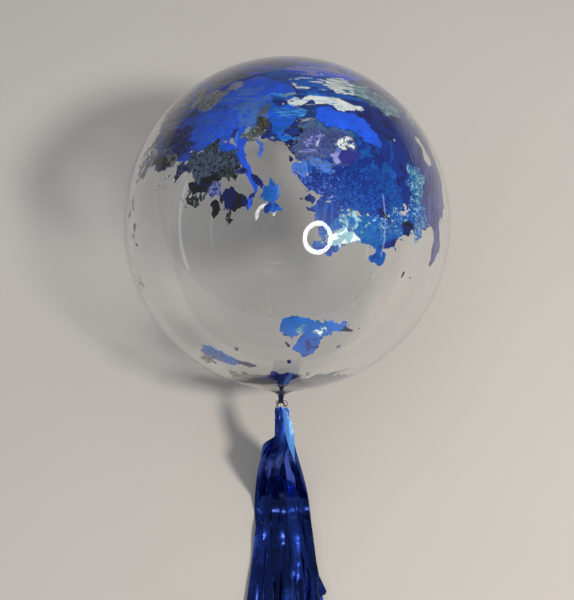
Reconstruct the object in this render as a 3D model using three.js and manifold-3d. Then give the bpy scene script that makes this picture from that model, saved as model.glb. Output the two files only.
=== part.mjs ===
// A clear bubble balloon at rest on a floor: one bubble of stretched film, its gathered neck
// tied off with ribbon, and a foil tassel tied on as a tail.
//
// Millimetres, +Z up, the floor at Z = 0. The origin is the middle of the small flat spot that
// the bubble rests on. The tail runs towards -Y, and the bubble's axis dips towards the neck.
//
// The bubble is built standing straight up, neck down, in a group of its own: X to the right,
// Y along the axis towards the crown, Z towards whoever looks at its painted front. The group
// is then leaned back. A "drop" is a distance below the bubble's centre along that axis.

import * as THREE from "three";
import { mergeVertices } from "three/addons/utils/BufferGeometryUtils.js";
import Module from "manifold-3d";

const wasm = await Module();
wasm.setup();

const { degToRad, lerp, smoothstep } = THREE.MathUtils;

// ---- Driving dimensions ----------------------------------------------------------------

// The bubble
const EQUATOR_RADIUS = 280;
const POLE_STRETCH = 1.02; // a filled bubble is a little longer along its axis than across it
const LEAN = degToRad(20); // how far the axis dips below level, towards the neck
const SWAY = degToRad(-2); // how far the neck has swung to the left
const FLAT_DEPTH = 2; // how far the floor presses the film in
const AROUND = 60; // facets round the bubble
const ARC_ROWS = 22; // rows of facets from the funnel to the crown

// The gathered neck: a funnel of pleats that ends in a twisted stem
const POLE_RADIUS = EQUATOR_RADIUS * POLE_STRETCH;
const FUNNEL_ANGLE = degToRad(8); // where the round film starts to turn in, seen from the centre
const PLEATS = 12;
const PLEAT_DEPTH = 1.8;
const PLEAT_REACH = 75; // the pleats have died away this far from the axis
const STEM_RADIUS = 2.2;
const FUNNEL = [
  // [radius, drop below the pole]
  [20, 1.4],
  [13.4, 3.6],
  [8, 6],
  [4.6, 9],
  [2.9, 12],
  [STEM_RADIUS, 14.8],
  [STEM_RADIUS, 21.6],
  [2.8, 23.5],
];

// The ribbon: a wrap round the stem, a link down to the tassel, two small loops and two ends
const RIBBON_WIDTH = 3.4;
const RIBBON_THICKNESS = 0.7;
const WRAP_TURNS = 3;
const WRAP_PITCH = 1.7;
const WRAP_INNER = STEM_RADIUS + 0.6;
const WRAP_OUTER = 3.9;
const WRAP_DROP = POLE_RADIUS + 16.2; // top of the wrap
const LINK_HALF_WIDTH = 5;
const LINK_HALF_HEIGHT = 6;
const LINK_DROP = POLE_RADIUS + 24.6; // middle of the link
const LINK_START = degToRad(38); // where it leaves the wrap, measured from straight up

// The tassel: foil twisted into an eye and a head, then cut into strips
const EYE_PLAY = 0.9; // between the eye and the link that it hangs on
const EYE_TUBE = 1.8;
const EYE_HALF_WIDTH = 4.4;
const HEAD_TOP = POLE_RADIUS + 35;
const HEAD_END = POLE_RADIUS + 48;
const HEAD_RADIUS = [4.2, 6.6]; // at the top and the end of the twisted head
const HEAD_TWIST = 1.8; // radians that the head's two lobes turn over its length
const FOIL_THICKNESS = 0.8;
const STRIP_WIDTH = 14;
const LAYERS = 6;
const STRIPS_IN_LAYER = 4;
const STATIONS = 12; // cross-sections along a strip
const TAIL_LENGTH = 425; // from the head's end to the furthest tip
const TAIL_TRIM = 46; // the tips are cut unevenly, by up to this much
const TOUCHDOWN = 130; // how far in front of the head's end the tail meets the floor
const LAYER_RISE = 2.2; // from one layer to the next, where they lie on the floor
const FLICK = 34; // how far the tip of one short strip curls out to the right

// ---- Where the bubble sits -------------------------------------------------------------

const tilt = new THREE.Euler(LEAN, 0, SWAY);
const axis = new THREE.Vector3(0, 1, 0).applyEuler(tilt);

// A spheroid's lowest point, seen from its centre.
const swell = POLE_RADIUS ** 2 - EQUATOR_RADIUS ** 2;
const reachDown = Math.sqrt(EQUATOR_RADIUS ** 2 + swell * axis.z ** 2);
const lowest = new THREE.Vector3(0, 0, EQUATOR_RADIUS ** 2)
  .addScaledVector(axis, swell * axis.z)
  .divideScalar(-reachDown);

const balloon = new THREE.Group();
balloon.position.set(-lowest.x, -lowest.y, reachDown - FLAT_DEPTH);
balloon.rotation.copy(tilt);
balloon.updateMatrixWorld(true);

// ---- Solids ----------------------------------------------------------------------------

const WELD = 1e-4;

function solidOf(geometry) {
  const bare = geometry.index ? geometry.toNonIndexed() : geometry.clone();
  const places = new THREE.BufferGeometry();
  places.setAttribute("position", bare.getAttribute("position"));
  const welded = mergeVertices(places, WELD);
  const mesh = new wasm.Mesh({
    numProp: 3,
    vertProperties: welded.getAttribute("position").array,
    triVerts: new Uint32Array(welded.index.array),
  });
  return new wasm.Manifold(mesh);
}

// The largest body of a solid, with any pocket that is sealed inside it filled.
function wholeOf(solid) {
  return solid.decompose().reduce((a, b) => (b.volume() > a.volume() ? b : a));
}

function geometryOf(solid) {
  const mesh = solid.getMesh();
  const geometry = new THREE.BufferGeometry();
  geometry.setAttribute("position", new THREE.BufferAttribute(mesh.vertProperties, 3));
  geometry.setIndex(new THREE.BufferAttribute(mesh.triVerts, 1));
  geometry.computeVertexNormals();
  return geometry;
}

// A block that fills everything below the floor, in the frame that the matrix maps to the world.
function belowFloor(matrixWorld) {
  const size = 8 * EQUATOR_RADIUS;
  const block = new THREE.BoxGeometry(size, size, size);
  block.translate(0, 0, -size / 2);
  block.applyMatrix4(matrixWorld.clone().invert());
  return solidOf(block);
}

// A tube of round section along a curve, closed at both ends.
function tubeAlong(curve, radius, sides, steps) {
  const section = new THREE.Shape();
  section.absarc(0, 0, radius, 0, 2 * Math.PI);
  return new THREE.ExtrudeGeometry(section, {
    extrudePath: curve,
    steps,
    curveSegments: sides,
  });
}

// ---- The bubble ------------------------------------------------------------------------

function bubbleProfile() {
  const funnel = FUNNEL.map(([radius, drop]) => new THREE.Vector2(radius, -POLE_RADIUS - drop));
  const stemEnd = new THREE.Vector2(0, funnel.at(-1).y);
  const arc = [];
  for (let row = 0; row <= ARC_ROWS; row++) {
    const angle = lerp(FUNNEL_ANGLE, Math.PI, row / ARC_ROWS);
    const radius = row === ARC_ROWS ? 0 : EQUATOR_RADIUS * Math.sin(angle);
    arc.push(new THREE.Vector2(radius, -POLE_RADIUS * Math.cos(angle)));
  }
  return [stemEnd, ...funnel.reverse(), ...arc];
}

// Presses pleats into the film round the neck. They run out along the meridians.
function pleat(geometry) {
  const places = geometry.getAttribute("position");
  for (let i = 0; i < places.count; i++) {
    const [x, y, z] = [places.getX(i), places.getY(i), places.getZ(i)];
    const radius = Math.hypot(x, z);
    if (y > 0 || radius < WRAP_INNER) continue;
    const swelling = smoothstep(radius, WRAP_INNER, 4 * WRAP_INNER);
    const fading = 1 - smoothstep(radius, 4 * WRAP_INNER, PLEAT_REACH);
    const ridge = PLEAT_DEPTH * Math.cos(PLEATS * Math.atan2(x, z)) * swelling * fading;
    places.setXYZ(i, x * (1 + ridge / radius), y, z * (1 + ridge / radius));
  }
}

function makeBubble() {
  const round = new THREE.LatheGeometry(bubbleProfile(), AROUND);
  pleat(round);
  const resting = solidOf(round).subtract(belowFloor(balloon.matrixWorld));
  const film = new THREE.MeshStandardMaterial({
    color: 0xe4ebee,
    roughness: 0.05,
    metalness: 0,
    transparent: true,
    opacity: 0.25,
  });
  const mesh = new THREE.Mesh(geometryOf(resting), film);
  mesh.name = "bubble_film";
  return mesh;
}

// ---- The ribbon ------------------------------------------------------------------------

// The ribbon seen from its edge: a band of even thickness along a flat curve, as wide as the
// ribbon across the curve's plane.
function bandAlong(curve, steps) {
  const left = [];
  const right = [];
  for (let i = 0; i <= steps; i++) {
    const point = curve.getPoint(i / steps);
    const along = curve.getTangent(i / steps);
    const side = new THREE.Vector2(-along.y, along.x).multiplyScalar(RIBBON_THICKNESS / 2);
    left.push(point.clone().add(side));
    right.unshift(point.clone().sub(side));
  }
  const band = new THREE.ExtrudeGeometry(new THREE.Shape([...left, ...right]), {
    depth: RIBBON_WIDTH,
    bevelEnabled: false,
  });
  return band.translate(0, 0, -RIBBON_WIDTH / 2);
}

// Turns of ribbon round the stem, one bulging ring for each turn.
function makeWrap() {
  const profile = [new THREE.Vector2(WRAP_INNER, 0)];
  for (let turn = 0; turn < WRAP_TURNS; turn++) {
    const top = -turn * WRAP_PITCH;
    profile.push(new THREE.Vector2(WRAP_OUTER - 0.5, top - 0.05 * WRAP_PITCH));
    profile.push(new THREE.Vector2(WRAP_OUTER, top - 0.5 * WRAP_PITCH));
    profile.push(new THREE.Vector2(WRAP_OUTER - 0.5, top - 0.95 * WRAP_PITCH));
  }
  profile.push(new THREE.Vector2(WRAP_INNER, -WRAP_TURNS * WRAP_PITCH));
  profile.push(profile[0].clone());
  const wrap = new THREE.LatheGeometry(profile.reverse(), 20);
  return wrap.translate(0, -WRAP_DROP, 0);
}

// The link: an open oval that leaves one side of the wrap, passes through the tassel's eye and
// comes back up the other side.
function makeLink() {
  const points = [];
  const steps = 16;
  for (let i = 0; i <= steps; i++) {
    const turn = lerp(LINK_START, 2 * Math.PI - LINK_START, i / steps);
    points.push(
      new THREE.Vector2(
        LINK_HALF_WIDTH * Math.sin(turn),
        -LINK_DROP + LINK_HALF_HEIGHT * Math.cos(turn),
      ),
    );
  }
  return bandAlong(new THREE.SplineCurve(points), steps);
}

// A loop or a loose end: a flat curve through points given from the middle of the wrap.
function makeEnd(offsets, steps) {
  const middle = -WRAP_DROP - (WRAP_TURNS * WRAP_PITCH) / 2;
  const points = offsets.map(([x, y]) => new THREE.Vector2(x, middle + y));
  return bandAlong(new THREE.SplineCurve(points), steps);
}

// Each is a list of [right, up] places.
const LEFT_LOOP = [[-3.4, 0.6], [-6.4, 1.4], [-8.6, -0.9], [-7.8, -4], [-5.2, -3.8], [-3.4, -1]];
const RIGHT_LOOP = [[3.4, 0.8], [7.4, 0.6], [10.8, -3], [10.2, -6.4], [7.2, -5.4], [3.4, -0.8]];
const LEFT_END = [[-3.4, -0.4], [-6.8, -7.5], [-9.6, -15], [-9, -24]];
const RIGHT_END = [[3.4, 0], [7.4, -8], [13, -16], [13.6, -26]];

function makeRibbon() {
  const parts = [
    makeWrap(),
    makeLink(),
    makeEnd(LEFT_LOOP, 12),
    makeEnd(RIGHT_LOOP, 12),
    makeEnd(LEFT_END, 6),
    makeEnd(RIGHT_END, 7),
  ];
  const tied = wasm.Manifold.union(parts.map(solidOf));
  const satin = new THREE.MeshStandardMaterial({ color: 0x10173a, roughness: 0.35, metalness: 0.1 });
  const mesh = new THREE.Mesh(geometryOf(tied), satin);
  mesh.name = "ribbon_tie";
  return mesh;
}

// ---- The tassel ------------------------------------------------------------------------

const headEnd = new THREE.Vector3(0, -HEAD_END, 0).applyMatrix4(balloon.matrixWorld);
const lyingHeight = FOIL_THICKNESS / 2 + (LAYER_RISE * (LAYERS - 1)) / 2;
const touchdown = new THREE.Vector3(headEnd.x, headEnd.y - TOUCHDOWN, lyingHeight);

// The line that the middle of the tail follows: out of the head along the axis, down to the
// floor, and on along it.
const fall = new THREE.CubicBezierCurve3(
  headEnd,
  headEnd.clone().addScaledVector(axis, -0.55 * TOUCHDOWN),
  touchdown.clone().add(new THREE.Vector3(0, 0.5 * TOUCHDOWN, 0)),
  touchdown,
);
const fallLength = fall.getLength();
const tailEnd = touchdown.clone().add(new THREE.Vector3(0, fallLength - TAIL_LENGTH, 0));
const drape = new THREE.CurvePath();
drape.add(fall);
drape.add(new THREE.LineCurve3(touchdown, tailEnd));

// How far the tail spreads to the left and to the right of its middle, and how deep its layers
// are, at a distance s from the head. On the left one bunch of strips bellies out.
const spreadLeft = (s) => 6 + 17 * smoothstep(s, 38, 72) + 0.09 * Math.max(s - 38, 0);
const spreadRight = (s) => 10 + 59 * (s / 340) ** 0.8;
const lying = (s) => smoothstep(s, 0.5 * fallLength, fallLength);
const depthAt = (s) => lerp(9 + 25 * smoothstep(s, 0, 70), LAYER_RISE * (LAYERS - 1), lying(s));

// An even scatter between 0 and 1 that is the same on every run.
const scatter = (seed) => {
  const value = Math.sin(seed * 127.1 + 311.7) * 43758.5453;
  return value - Math.floor(value);
};

const GOLDEN_SHARE = 0.618; // staggers each layer's strips over the gaps of the last

function describeStrip(layer, place) {
  const seed = layer * STRIPS_IN_LAYER + place;
  const isFlicked = layer === LAYERS - 2 && place === STRIPS_IN_LAYER - 1;
  return {
    across: (place + 0.12 + 0.76 * ((layer * GOLDEN_SHARE) % 1)) / STRIPS_IN_LAYER,
    height: layer / (LAYERS - 1) - 0.5,
    length: isFlicked ? TAIL_LENGTH - 1.6 * TAIL_TRIM : TAIL_LENGTH - TAIL_TRIM * scatter(seed),
    roll: degToRad(lerp(-18, 18, scatter(seed + 50))),
    flick: isFlicked ? FLICK : 0,
  };
}

function stripMiddle(strip, s) {
  const share = THREE.MathUtils.clamp(s / TAIL_LENGTH, 0, 1);
  const along = drape.getTangentAt(share);
  const up = new THREE.Vector3(0, -along.z, along.y);
  if (up.z < 0) up.negate();
  const curl = strip.flick * smoothstep(s, strip.length - 90, strip.length + 40);
  const x = lerp(-spreadLeft(Math.max(s, 0)), spreadRight(Math.max(s, 0)), strip.across);
  return drape
    .getPointAt(share)
    .addScaledVector(axis, Math.max(-s, 0))
    .addScaledVector(up, strip.height * depthAt(s))
    .add(new THREE.Vector3(x + curl, 0, 0));
}

// A strip of foil: a thin rectangle carried along the drape. It leaves the head gathered narrow
// and rolled a little, opens out, and lies almost flat on the floor.
function makeStrip(strip) {
  const rings = [];
  for (let i = 0; i < STATIONS; i++) {
    const s = lerp(-8, strip.length, i / (STATIONS - 1));
    const middle = stripMiddle(strip, s);
    const along = stripMiddle(strip, s + 4).sub(stripMiddle(strip, s - 4)).normalize();
    const across = new THREE.Vector3(1, 0, 0).addScaledVector(along, -along.x).normalize();
    across.applyAxisAngle(along, strip.roll * lerp(1, 0.12, lying(s)));
    const face = new THREE.Vector3().crossVectors(along, across);
    const room = (spreadLeft(Math.max(s, 0)) + spreadRight(Math.max(s, 0))) / STRIPS_IN_LAYER;
    const width = Math.min(STRIP_WIDTH, 0.92 * room);
    across.multiplyScalar(width / 2);
    face.multiplyScalar(FOIL_THICKNESS / 2);
    rings.push({ middle, across, face });
  }
  return sweptBox(rings);
}

// A closed solid through rectangles, each given by its middle and two half-sides.
function sweptBox(rings) {
  const corners = [
    [1, 1],
    [-1, 1],
    [-1, -1],
    [1, -1],
  ];
  const places = [];
  for (const { middle, across, face } of rings) {
    for (const [a, f] of corners) {
      places.push(...middle.clone().addScaledVector(across, a).addScaledVector(face, f));
    }
  }
  const faces = [];
  for (let ring = 0; ring + 1 < rings.length; ring++) {
    for (let k = 0; k < 4; k++) {
      const a = 4 * ring + k;
      const b = 4 * ring + ((k + 1) % 4);
      faces.push(a, b, b + 4, a, b + 4, a + 4);
    }
  }
  const last = 4 * (rings.length - 1);
  faces.push(0, 2, 1, 0, 3, 2, last, last + 1, last + 2, last, last + 2, last + 3);
  const geometry = new THREE.BufferGeometry();
  geometry.setAttribute("position", new THREE.Float32BufferAttribute(places, 3));
  geometry.setIndex(faces);
  return geometry;
}

// The eye: twisted foil bent over the bottom of the link, edge on to the front.
function makeEye() {
  const hungFrom = LINK_DROP + LINK_HALF_HEIGHT - RIBBON_THICKNESS / 2 - EYE_PLAY;
  const top = -(hungFrom - EYE_TUBE);
  const waist = -HEAD_TOP - 2;
  const half = [
    [lerp(top, waist, 0.3), EYE_HALF_WIDTH],
    [lerp(top, waist, 0.7), 0.8 * EYE_HALF_WIDTH],
    [waist, 0.5 * EYE_HALF_WIDTH],
  ];
  const down = half.map(([y, z]) => new THREE.Vector3(0, y, z));
  const up = half.map(([y, z]) => new THREE.Vector3(0, y, -z)).reverse();
  const bend = new THREE.CatmullRomCurve3([...up, new THREE.Vector3(0, top, 0), ...down]);
  return tubeAlong(bend, EYE_TUBE, 4, 18);
}

// The head: two twisted lobes that thicken towards the strips.
function makeHead() {
  const rows = 5;
  const profile = [new THREE.Vector2(0, -HEAD_END)];
  for (let row = rows; row >= 0; row--) {
    const share = row / rows;
    const radius = lerp(...HEAD_RADIUS, share);
    profile.push(new THREE.Vector2(radius, -lerp(HEAD_TOP, HEAD_END, share)));
  }
  profile.push(new THREE.Vector2(0, -HEAD_TOP));
  const head = new THREE.LatheGeometry(profile, 16);
  const places = head.getAttribute("position");
  for (let i = 0; i < places.count; i++) {
    const [x, y, z] = [places.getX(i), places.getY(i), places.getZ(i)];
    const twist = (HEAD_TWIST * (-y - HEAD_TOP)) / (HEAD_END - HEAD_TOP);
    const share = 1 + 0.16 * Math.cos(2 * (Math.atan2(x, z) - twist));
    places.setXYZ(i, x * share, y, z * share);
  }
  return head;
}

function makeTassel() {
  const head = [makeEye(), makeHead()].map((g) => g.applyMatrix4(balloon.matrixWorld));
  const strips = [];
  for (let layer = 0; layer < LAYERS; layer++) {
    for (let place = 0; place < STRIPS_IN_LAYER; place++) {
      strips.push(makeStrip(describeStrip(layer, place)));
    }
  }
  const bunch = wasm.Manifold.union([...strips, ...head].map(solidOf));
  const resting = wholeOf(bunch.subtract(belowFloor(new THREE.Matrix4())));
  const foil = new THREE.MeshStandardMaterial({ color: 0x0c1f6b, roughness: 0.25, metalness: 0.8 });
  const mesh = new THREE.Mesh(geometryOf(resting), foil);
  mesh.name = "foil_tassel";
  return mesh;
}

// ---- The object ------------------------------------------------------------------------

balloon.add(makeBubble(), makeRibbon());

const object = new THREE.Group();
object.add(balloon, makeTassel());

export default object;
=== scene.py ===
"""The looks of a clear bubble balloon with paint inside it and a foil tassel for a tail.

It is laid out as an add-on and run as a script: each operator makes one piece or group of pieces
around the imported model. Everything is in metres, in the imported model's frame.

The bubble has a frame of its own as well: X to the right, Y up its axis from the neck to the
crown, Z to its painted front. A place on it is given by degrees east of the front meridian and
degrees north of the equator.
"""

import math
from collections import namedtuple
from itertools import product

import bmesh
import bpy
import numpy as np
from bpy.props import FloatProperty, FloatVectorProperty, IntProperty, PointerProperty
from mathutils import Matrix


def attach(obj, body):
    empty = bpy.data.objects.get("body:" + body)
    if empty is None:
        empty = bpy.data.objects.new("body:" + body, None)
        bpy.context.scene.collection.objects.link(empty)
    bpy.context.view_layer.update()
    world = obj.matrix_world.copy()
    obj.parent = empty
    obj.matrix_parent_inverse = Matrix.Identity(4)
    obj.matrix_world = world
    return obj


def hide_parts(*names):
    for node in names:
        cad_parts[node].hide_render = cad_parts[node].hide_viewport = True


bl_info = {
    "name": "Bubble Balloon",
    "version": (1, 0, 0),
    "blender": (4, 5, 0),
    "location": "3D View > Sidebar > Balloon",
    "description": "Makes a clear bubble balloon with paint inside and a foil tassel",
    "category": "Add Mesh",
}

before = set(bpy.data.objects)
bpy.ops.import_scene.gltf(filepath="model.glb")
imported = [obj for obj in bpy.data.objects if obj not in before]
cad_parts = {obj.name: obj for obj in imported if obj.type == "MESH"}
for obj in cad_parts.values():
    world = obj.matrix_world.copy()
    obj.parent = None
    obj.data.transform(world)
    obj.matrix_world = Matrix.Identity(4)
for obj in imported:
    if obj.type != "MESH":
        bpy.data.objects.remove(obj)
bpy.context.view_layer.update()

MM = 0.001
BODY = "root"


# ---- Colours and nodes -----------------------------------------------------------------


def linear(hex_colour, alpha=None):
    """An sRGB hex colour as linear numbers."""
    shares = [int(hex_colour[i : i + 2], 16) / 255 for i in (1, 3, 5)]
    colour = [s / 12.92 if s <= 0.04045 else ((s + 0.055) / 1.055) ** 2.4 for s in shares]
    return (*colour, alpha) if alpha is not None else tuple(colour)


def shaded(shade, share):
    """A linear colour made darker or lighter, with an alpha of 1."""
    return (*(part * share for part in shade), 1)


def add_node(tree, kind, settings=None, **sockets):
    """Adds a node. A socket given another socket is linked to it, else it takes the value.

    A socket's name is written with _ for a space, or as in3 for the fourth input.
    """
    node = tree.nodes.new(kind)
    for name, value in (settings or {}).items():
        setattr(node, name, value)
    for name, value in sockets.items():
        key = int(name[2:]) if name[:2] == "in" and name[2:].isdigit() else name.replace("_", " ")
        if isinstance(value, bpy.types.NodeSocket):
            tree.links.new(value, node.inputs[key])
        else:
            node.inputs[key].default_value = value
    return node


def new_material(name):
    """An empty material and its node tree with an output."""
    material = bpy.data.materials.new(name)
    material.use_nodes = True
    tree = material.node_tree
    tree.nodes.clear()
    return material, tree, tree.nodes.new("ShaderNodeOutputMaterial")


# ---- Shapes ----------------------------------------------------------------------------


def noise(points, seed):
    """Smooth noise from -1 to 1 at each point. One cell of the noise is one unit."""
    cell = np.floor(points).astype(np.int64)
    part = points - cell
    ease = part * part * (3 - 2 * part)
    total = np.zeros(len(points))
    for corner in product((0, 1), repeat=3):
        x, y, z = (cell + corner).T
        mixed = (x * 73856093) ^ (y * 19349663) ^ (z * 83492791) ^ (seed * 2654435761)
        mixed = (mixed ^ (mixed >> 13)) * 1274126177
        mixed = (mixed ^ (mixed >> 16)) & 0xFFFFFF
        share = np.prod(np.where(corner, ease, 1 - ease), axis=1)
        total += share * (mixed / 0x7FFFFF - 1)
    return total


def drift(points, size, amount, seed):
    """Moves points about by smooth noise: size is the noise's grain, amount how far."""
    moved = [noise(points / size, seed + k) for k in range(3)]
    return points + amount * np.stack(moved, axis=1)


def smoothstep(low, high, value):
    """Rises smoothly from 0 at the low value to 1 at the high one."""
    share = np.clip((value - low) / (high - low), 0, 1)
    return share * share * (3 - 2 * share)


def spline(points, steps):
    """A smooth curve through the points, with that many steps to a span."""
    points = np.array(points, float)
    ends = np.concatenate([[2 * points[0] - points[1]], points, [2 * points[-1] - points[-2]]])
    share = np.linspace(0, 1, steps, endpoint=False)[:, None]
    spans = []
    for before, start, end, after in zip(ends, ends[1:], ends[2:], ends[3:]):
        slope_in, slope_out = (end - before) / 2, (after - start) / 2
        bend = 3 * (end - start) - 2 * slope_in - slope_out
        tail = slope_in + slope_out - 2 * (end - start)
        spans.append(start + share * (slope_in + share * (bend + share * tail)))
    return np.concatenate([*spans, points[-1:]])


def unit(vectors):
    return vectors / np.linalg.norm(vectors, axis=-1, keepdims=True)


def grid_normals(grid):
    """The way out from a grid of points, for rows that run up and columns to the right."""
    return unit(np.cross(np.gradient(grid, axis=1), np.gradient(grid, axis=0)))


def grid_faces(rows, columns, closed=False):
    """Quads over a grid of points. Closed joins the last column to the first."""
    row = np.arange(rows - 1)[:, None] * columns
    column = np.arange(columns if closed else columns - 1)
    ahead = (column + 1) % columns
    quads = np.stack([row + column, row + ahead, row + columns + ahead, row + columns + column], -1)
    return quads.reshape(-1, 4)


def sheet_solid(grid, thickness):
    """A closed body for a thin sheet: the grid, a copy a thickness behind it, and the rim."""
    rows, columns = grid.shape[:2]
    back = grid - thickness * grid_normals(grid)
    points = np.concatenate([grid.reshape(-1, 3), back.reshape(-1, 3)])
    count = rows * columns
    front = grid_faces(rows, columns)
    index = np.arange(count).reshape(rows, columns)
    round_it = [index[0, :-1], index[:-1, -1], index[-1, :0:-1], index[:0:-1, 0]]
    loop = np.concatenate(round_it)
    after = np.roll(loop, -1)
    rim = np.stack([after, loop, loop + count, after + count], -1)
    return points, np.concatenate([front, front[:, ::-1] + count, rim]).tolist()


def tube_solid(path, radius, sides, lobes=0, lobe_share=0.0, twist=0.0, side=(1, 0, 0)):
    """A closed tube along a path. Lobes are ridges along it, which twist as it goes."""
    along = unit(np.gradient(path, axis=0))
    first = unit(np.cross(along, np.broadcast_to(side, along.shape)))
    second = np.cross(along, first)
    turn = np.linspace(0, 2 * np.pi, sides, endpoint=False)
    share = np.linspace(0, 1, len(path))[:, None]
    ridge = 1 + lobe_share * np.cos(lobes * turn - twist * share)
    reach = (np.broadcast_to(radius, len(path))[:, None] * ridge)[..., None]
    round_it = np.cos(turn)[:, None] * first[:, None] + np.sin(turn)[:, None] * second[:, None]
    points = (path[:, None] + reach * round_it).reshape(-1, 3)
    count = len(points)
    faces = grid_faces(len(path), sides, closed=True).tolist()
    start, end = list(range(sides))[::-1], list(range(count - sides, count))
    return points, [*faces, start, end]


def joined(bodies):
    """Several (points, faces) bodies as one."""
    points, faces, count = [], [], 0
    for body_points, body_faces in bodies:
        points.append(body_points)
        faces.extend([i + count for i in face] for face in body_faces)
        count += len(body_points)
    return np.concatenate(points), faces


def add_piece(name, points, faces, material, sharp=math.radians(180), replaces=()):
    """A mesh piece of the balloon, smooth but for edges sharper than the angle."""
    mesh = bpy.data.meshes.new(name)
    mesh.from_pydata(points.tolist(), [], faces)
    mesh.validate()
    mesh.shade_smooth()
    mesh.set_sharp_from_angle(angle=sharp)
    mesh.materials.append(material)
    piece = bpy.data.objects.new(name, mesh)
    bpy.context.scene.collection.objects.link(piece)
    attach(piece, BODY)
    if replaces:
        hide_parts(*replaces)
    return piece


# What each kind of attribute calls its numbers.
VALUE_OF = {"FLOAT": "value", "FLOAT_VECTOR": "vector", "FLOAT_COLOR": "color"}


def add_attribute(piece, name, kind, values):
    """Gives every point of a piece a value that its material reads."""
    layer = piece.data.attributes.new(name, kind, "POINT")
    layer.data.foreach_set(VALUE_OF[kind], np.asarray(values, np.float32).ravel())


# ---- Sizes and colours that a user would change -----------------------------------------


def length(name, description, default):
    return FloatProperty(name=name, description=description, default=default, unit="LENGTH")


def angle(name, description, degrees):
    return FloatProperty(
        name=name, description=description, default=math.radians(degrees), subtype="ANGLE"
    )


def colour(name, description, hex_colour):
    return FloatVectorProperty(
        name=name, description=description, default=linear(hex_colour), subtype="COLOR"
    )


class FilmSettings(bpy.types.PropertyGroup):
    """The bubble of clear film"""

    equator_radius: length("Equator radius", "Half the bubble's width", 280 * MM)
    pole_stretch: FloatProperty(
        name="Pole stretch", description="Its height over its width", default=1.02
    )
    lean: angle("Lean", "How far the axis dips below level, towards the neck", 20)
    sway: angle("Sway", "How far the neck has swung to the right", -2)
    flat_depth: length("Flat depth", "How far the floor presses the film in", 2 * MM)
    thickness: length("Film thickness", "Drawn thicker than the real 0.1 mm", 0.3 * MM)
    pleats: IntProperty(name="Pleats", description="Folds gathered into the neck", default=12)
    tint: colour("Film tint", "What a lamp's light keeps at each face", "#f4f6f6")


class PaintSettings(bpy.types.PropertyGroup):
    """The paint inside the film"""

    royal: colour("Royal blue", "Bright sheets and tongues", "#1d60f4")
    periwinkle: colour("Periwinkle", "Royal blue scraped thin", "#4a7cd4")
    azure: colour("Azure", "Poured over the royal blue", "#0a64cc")
    sky: colour("Sky blue", "Streaks in the azure", "#4fa6f8")
    deep: colour("Deep blue", "The large mass on the right", "#002b88")
    cobalt: colour("Cobalt", "Clouds in the deep blue", "#0052a8")
    navy: colour("Navy", "Drops and dark lobes", "#0c1462")
    violet: colour("Violet", "Thin, dark paint by the rims", "#37478f")
    plum: colour("Plum", "Dark red-blue pools", "#2a2f86")
    lilac: colour("Lilac", "Scratches and thin scrapes", "#9498d6")
    teal: colour("Teal", "Streaks and splashes", "#1270a6")
    foam: colour("White", "White streaks", "#eef8fa")
    # White paint. At the top right of the front its streaks are also a painted highlight, standing for
    # the lamp's reflection in metallic paint.
    mist: colour("Mist", "White thinned with teal", "#8fbcc8")
    silver: colour("Silver", "Grey scraped thin", "#a3a7b2")
    slate: colour("Slate", "Grey-blue haze", "#566a88")
    grey: colour("Grey", "Thin grey wash", "#808184")
    moss: colour("Moss", "Green-grey mottles", "#495a5c")
    olive: colour("Olive", "Brown-green specks", "#56564b")
    # Black paint. By the window and in the dark haze on the left it is also painted shade, standing for
    # paint on the far wall seen in shade.
    charcoal: colour("Charcoal", "Black paint", "#0d1219")


class RibbonSettings(bpy.types.PropertyGroup):
    """The ribbon that ties the neck"""

    width: length("Ribbon width", "Width of the curling ribbon", 3.4 * MM)
    thickness: length("Ribbon thickness", "Thickness of the ribbon where it is twisted", 1.1 * MM)
    shade: colour("Ribbon colour", "Dark navy", "#10163c")


class TasselSettings(bpy.types.PropertyGroup):
    """The foil tassel"""

    strip_width: length("Strip width", "Width that the foil was cut to", 14 * MM)
    foil: length("Foil thickness", "Drawn thicker than the real foil", 0.12 * MM)
    tail: length("Tail length", "From the head's end to the furthest tip", 425 * MM)
    layers: IntProperty(name="Layers", description="Layers of strips", default=7)
    strips: IntProperty(name="Strips in a layer", description="Strips side by side", default=5)
    shade: colour("Foil colour", "Blue lacquer over bright metal", "#1f3a90")
    # Painted reflection: this pale blue, labelled the foil's back, stands for the lamp's bright
    # reflection on a strip.
    back: colour("Foil back", "The paler bare side", "#5c9ef2")


class StageSettings(bpy.types.PropertyGroup):
    """The floor, the lights and the camera"""

    floor: colour("Floor", "Pale matt floor", "#d2cfca")
    room: colour("Room light", "Soft light from all round", "#d8d9dc")
    room_strength: FloatProperty(name="Room strength", description="Its strength", default=0.62)
    elevation: angle("Elevation", "How high the camera stands over the floor", 60)
    distance: length("Distance", "From the camera to the middle of the bubble", 1.7)


class BalloonSettings(bpy.types.PropertyGroup):
    """Everything that can be changed"""

    film: PointerProperty(type=FilmSettings)
    paint: PointerProperty(type=PaintSettings)
    ribbon: PointerProperty(type=RibbonSettings)
    tassel: PointerProperty(type=TasselSettings)
    stage: PointerProperty(type=StageSettings)


# ---- The bubble's form ------------------------------------------------------------------

FUNNEL_ANGLE = math.radians(8)  # where the round film starts to turn in, seen from the centre
STEM_RADIUS = 2.2 * MM
STEM_DROP = 23.5 * MM  # how far the twisted stem reaches below the pole
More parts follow.
